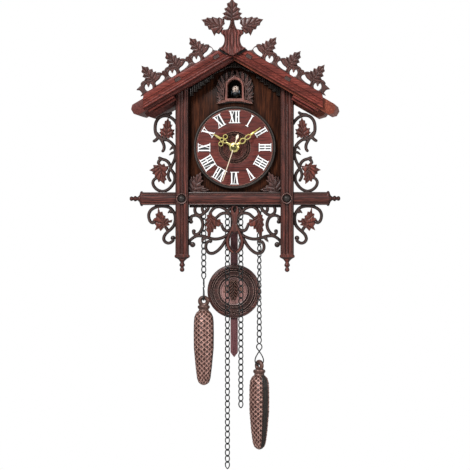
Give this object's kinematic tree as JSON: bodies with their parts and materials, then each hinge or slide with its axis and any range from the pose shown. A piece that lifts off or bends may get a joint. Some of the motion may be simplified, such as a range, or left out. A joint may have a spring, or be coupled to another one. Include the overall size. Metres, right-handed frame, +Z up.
{
  "type": "cuckoo clock",
  "caption": "Wall-hung carved wooden cuckoo clock with a quartz movement, swinging pendulum, hanging chains and pine cone weights, and a bird that slides out.",
  "frame": {"origin": "on the wall face of the back cover, level with the centre of the dial, in the middle of the case", "axes": "+X to the right as the clock is seen, +Y into the wall, +Z up"},
  "size_m": [0.254, 0.103, 0.5621],
  "materials": {
    "mahogany": "satin varnish, red-brown",
    "dark_wood": "satin varnish, dark red-brown",
    "carved_wood": "carved, stained dark brown, satin",
    "board_wood": "stained dark olive-brown, straight grain",
    "dial_wood": "turned, dark red-brown, satin",
    "plain_wood": "plain thin board, unfinished",
    "gold": "pale gold stamped metal",
    "brass": "plain brass",
    "gunmetal": "blackened steel",
    "steel": "plain steel wire and sheet",
    "copper": "turned wood with a coppery stain",
    "bronzed_iron": "moulded, dark brown with copper highlights",
    "bird_paint": "painted, cream head and blue-grey wings",
    "black_plastic": "black moulded plastic",
    "white_plastic": "white moulded plastic and white numerals",
    "green_board": "green circuit board",
    "cell_wrap": "plain wrapped cell, no markings"
  },
  "bodies": {
    "case": {"back_cover": "plain_wood", "front_board": "board_wood", "base_board": "dark_wood", "side_panel_right": "board_wood", "side_panel_left": "board_wood", "roof_board_left": "mahogany", "roof_board_right": "mahogany", "bargeboard_left": "mahogany", "bargeboard_right": "mahogany", "post_left": "dark_wood", "post_right": "dark_wood", "boss_left": "carved_wood", "boss_right": "carved_wood", "vine_upper_left": "carved_wood", "vine_upper_right": "carved_wood", "vine_lower_left": "carved_wood", "vine_lower_right": "carved_wood", "corner_leaf_left": "carved_wood", "corner_leaf_right": "carved_wood", "ridge_finial": "carved_wood", "gable_fringe": "carved_wood", "crossbar": "dark_wood", "apron_scroll": "carved_wood", "window_frame": "carved_wood", "dial": "dial_wood", "bush_nut": "brass", "movement_case": "black_plastic", "movement_cover": "black_plastic", "pendulum_bracket": "steel", "chain_bar": "steel", "bird_motor": "black_plastic", "module_shelf": "plain_wood", "battery_box": "black_plastic", "battery": "cell_wrap", "speaker": "black_plastic", "circuit_board": "green_board"},
    "door": {"service_door": "plain_wood"},
    "minute": {"centre_wheel": "brass", "minute_hand": "gold"},
    "hour": {"hour_wheel": "brass", "hour_hand": "gold"},
    "second": {"second_wheel": "steel", "second_hand": "gold"},
    "third": {"third_wheel": "brass"},
    "motion": {"motion_wheel": "brass"},
    "knob": {"set_knob": "black_plastic"},
    "pendulum": {"pendulum_rod": "dark_wood", "pendulum_disc": "copper"},
    "cuckoo": {"bird": "bird_paint", "bird_carriage": "white_plastic"},
    "pinion": {"bird_pinion": "white_plastic"},
    "left_weight_chain": {"chain_left_weight": "gunmetal", "hook_left": "steel"},
    "left_free_chain": {"chain_left_free": "gunmetal"},
    "right_free_chain": {"chain_right_free": "gunmetal"},
    "right_weight_chain": {"chain_right_weight": "gunmetal", "hook_right": "steel"},
    "left_cone": {"cone_left": "bronzed_iron"},
    "right_cone": {"cone_right": "bronzed_iron"},
    "switch": {"mode_switch": "white_plastic"}
  },
  "joints": [
    {"name": "minute_spin", "type": "hinge", "parent": "case", "child": "minute", "pos_m": [0, -0.06, 0], "axis": [0, 1, 0], "continuous": true},
    {"name": "hour_spin", "type": "hinge", "parent": "case", "child": "hour", "pos_m": [0, -0.06, 0], "axis": [0, 1, 0], "continuous": true},
    {"name": "second_spin", "type": "hinge", "parent": "case", "child": "second", "pos_m": [0, -0.06, 0], "axis": [0, 1, 0], "continuous": true},
    {"name": "third_spin", "type": "hinge", "parent": "case", "child": "third", "pos_m": [0.01061, -0.048, 0.01061], "axis": [0, 1, 0], "continuous": true},
    {"name": "motion_spin", "type": "hinge", "parent": "case", "child": "motion", "pos_m": [0, -0.052, -0.009], "axis": [0, 1, 0], "continuous": true},
    {"name": "knob_spin", "type": "hinge", "parent": "case", "child": "knob", "pos_m": [0, -0.03, -0.018], "axis": [0, 1, 0], "continuous": true},
    {"name": "pendulum_swing", "type": "hinge", "parent": "case", "child": "pendulum", "pos_m": [-0.0044, -0.022, -0.034], "axis": [0, 1, 0], "range_deg": [-5, 5]},
    {"name": "bird_slide", "type": "slide", "parent": "case", "child": "cuckoo", "axis": [0, -1, 0], "range_m": [0, 0.012]},
    {"name": "bird_pinion_spin", "type": "hinge", "parent": "case", "child": "pinion", "pos_m": [0.0096, -0.028, 0.056], "axis": [0, 0, 1], "range_deg": [0, 172]},
    {"name": "left_weight_chain_swing", "type": "hinge", "parent": "case", "child": "left_weight_chain", "pos_m": [-0.0392, -0.046, -0.054], "axis": [-1, 0, 0], "range_deg": [-1, 8]},
    {"name": "left_cone_swing", "type": "hinge", "parent": "left_weight_chain", "child": "left_cone", "pos_m": [-0.0392, -0.046, -0.1803], "axis": [-1, 0, 0], "range_deg": [-1, 8]},
    {"name": "left_free_chain_swing", "type": "hinge", "parent": "case", "child": "left_free_chain", "pos_m": [-0.0105, -0.046, -0.054], "axis": [-1, 0, 0], "range_deg": [-1, 8]},
    {"name": "right_free_chain_swing", "type": "hinge", "parent": "case", "child": "right_free_chain", "pos_m": [0.0058, -0.046, -0.054], "axis": [-1, 0, 0], "range_deg": [-1, 8]},
    {"name": "right_weight_chain_swing", "type": "hinge", "parent": "case", "child": "right_weight_chain", "pos_m": [0.0281, -0.046, -0.054], "axis": [-1, 0, 0], "range_deg": [-1, 8]},
    {"name": "right_cone_swing", "type": "hinge", "parent": "right_weight_chain", "child": "right_cone", "pos_m": [0.0281, -0.046, -0.2577], "axis": [-0.6691, 0.7431, 0], "range_deg": [-1, 8]},
    {"name": "door_hinge", "type": "hinge", "parent": "case", "child": "door", "pos_m": [-0.036, 0, 0.03], "axis": [0, 0, 1], "range_deg": [0, 95]},
    {"name": "switch_slide", "type": "slide", "parent": "case", "child": "switch", "axis": [0, 1, 0], "range_m": [0, 0.01]}
  ],
  "couplings": [
    {"joint": "hour_spin", "follows": "minute_spin", "ratio": 0.083333},
    {"joint": "second_spin", "follows": "minute_spin", "ratio": 60},
    {"joint": "third_spin", "follows": "minute_spin", "ratio": -7.5},
    {"joint": "motion_spin", "follows": "minute_spin", "ratio": -0.33333},
    {"joint": "knob_spin", "follows": "minute_spin", "ratio": 1},
    {"joint": "bird_pinion_spin", "follows": "bird_slide", "rad_per_m": 250}
  ]
}
